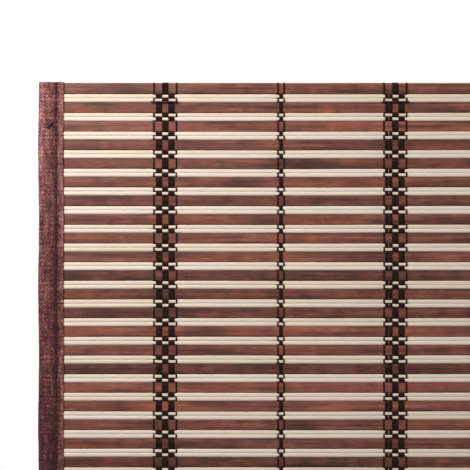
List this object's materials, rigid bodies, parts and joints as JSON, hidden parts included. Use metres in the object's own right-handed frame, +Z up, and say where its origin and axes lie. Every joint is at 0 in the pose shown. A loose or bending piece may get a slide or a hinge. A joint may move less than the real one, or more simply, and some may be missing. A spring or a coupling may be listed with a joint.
{
  "type": "bamboo roll up blind",
  "caption": "Roll up blind of split bamboo slats and pale reeds woven on dark warps, with cloth edge bindings, hung from a wood head batten with cord pulleys.",
  "frame": {"origin": "middle of the head batten's top face, midway between its two screw holes, where it meets the lintel", "axes": "+Z up, out of the head batten's top face; the front of the mat faces -Y, into the room; +X runs along the width to the viewer's right"},
  "size_m": [0.6, 0.0419, 0.8062],
  "materials": {
    "bamboo": "satin lacquer",
    "warp_thread": "twisted cotton",
    "binding_cloth": "plain weave cotton tape",
    "batten_wood": "planed, clear sealed",
    "staple_wire": "blackened",
    "pulley_steel": "zinc plated",
    "pulley_brass": "turned"
  },
  "bodies": {
    "blind": {"reed_mat": "bamboo", "warp_1": "warp_thread", "warp_2": "warp_thread", "warp_3": "warp_thread", "warp_4": "warp_thread", "warp_5": "warp_thread", "warp_6": "warp_thread", "warp_7": "warp_thread", "warp_8": "warp_thread", "warp_9": "warp_thread", "edge_binding_left": "binding_cloth", "edge_binding_right": "binding_cloth", "head_batten": "batten_wood", "foot_batten": "batten_wood", "head_staples": "staple_wire", "foot_staples": "staple_wire", "pulley_frame_left": "pulley_steel", "pulley_pin_left": "pulley_steel", "pulley_frame_right": "pulley_steel", "pulley_pin_right": "pulley_steel"},
    "left_wheel": {"pulley_wheel_left": "pulley_brass"},
    "right_front_wheel": {"pulley_wheel_right_front": "pulley_brass"},
    "right_back_wheel": {"pulley_wheel_right_back": "pulley_brass"}
  },
  "joints": [
    {"name": "left_wheel_spin", "type": "hinge", "parent": "blind", "child": "left_wheel", "pos_m": [-0.15, 0, -0.0275], "axis": [0, 1, 0], "continuous": true},
    {"name": "right_front_wheel_spin", "type": "hinge", "parent": "blind", "child": "right_front_wheel", "pos_m": [0.15, 0, -0.0275], "axis": [0, 1, 0], "continuous": true},
    {"name": "right_back_wheel_spin", "type": "hinge", "parent": "blind", "child": "right_back_wheel", "pos_m": [0.15, 0, -0.0275], "axis": [0, 1, 0], "continuous": true}
  ]
}
